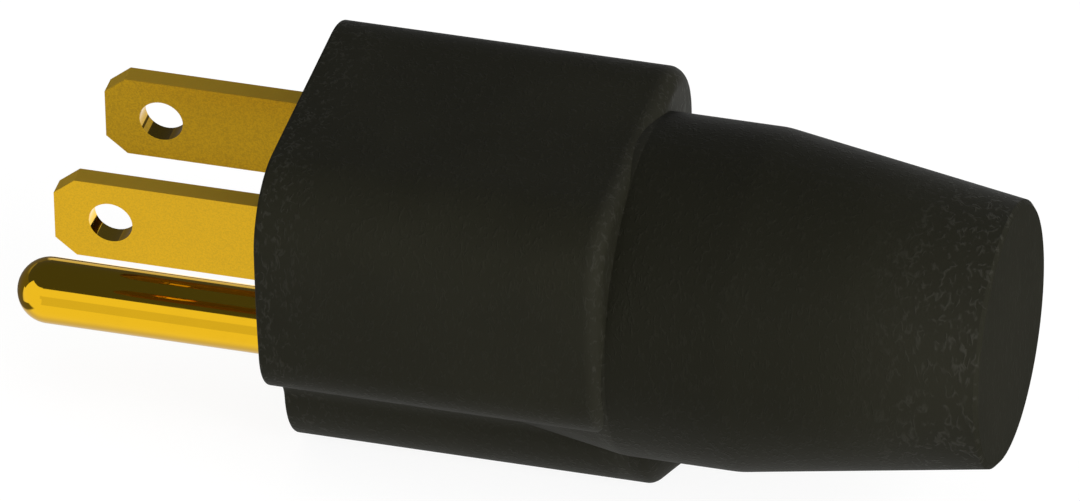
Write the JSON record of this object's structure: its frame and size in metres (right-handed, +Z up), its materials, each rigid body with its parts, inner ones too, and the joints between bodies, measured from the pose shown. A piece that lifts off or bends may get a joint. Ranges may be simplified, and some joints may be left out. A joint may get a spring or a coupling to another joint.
{
  "type": "neutral bonding plug",
  "caption": "Cordless mains plug with flat blades and a round ground pin, whose neutral blade is tied to ground inside a moulded housing.",
  "frame": {"origin": "centre of the mating face, halfway between the two blades", "axes": "-X the way the prongs point, +Y towards the line blade, +Z up and away from the ground pin"},
  "size_m": [0.0726, 0.0256, 0.0278],
  "materials": {
    "housing_vinyl": "fine orange-peel texture",
    "carrier_plastic": "as moulded",
    "blade_brass": "satin, finely grained along the blade",
    "pin_brass": "polished",
    "link_brass": "as rolled, with sheared edges"
  },
  "bodies": {
    "root": {"housing": "housing_vinyl", "contact_carrier": "carrier_plastic", "neutral_blade": "blade_brass", "line_blade": "blade_brass", "ground_pin": "pin_brass", "bonding_link": "link_brass"}
  },
  "joints": []
}
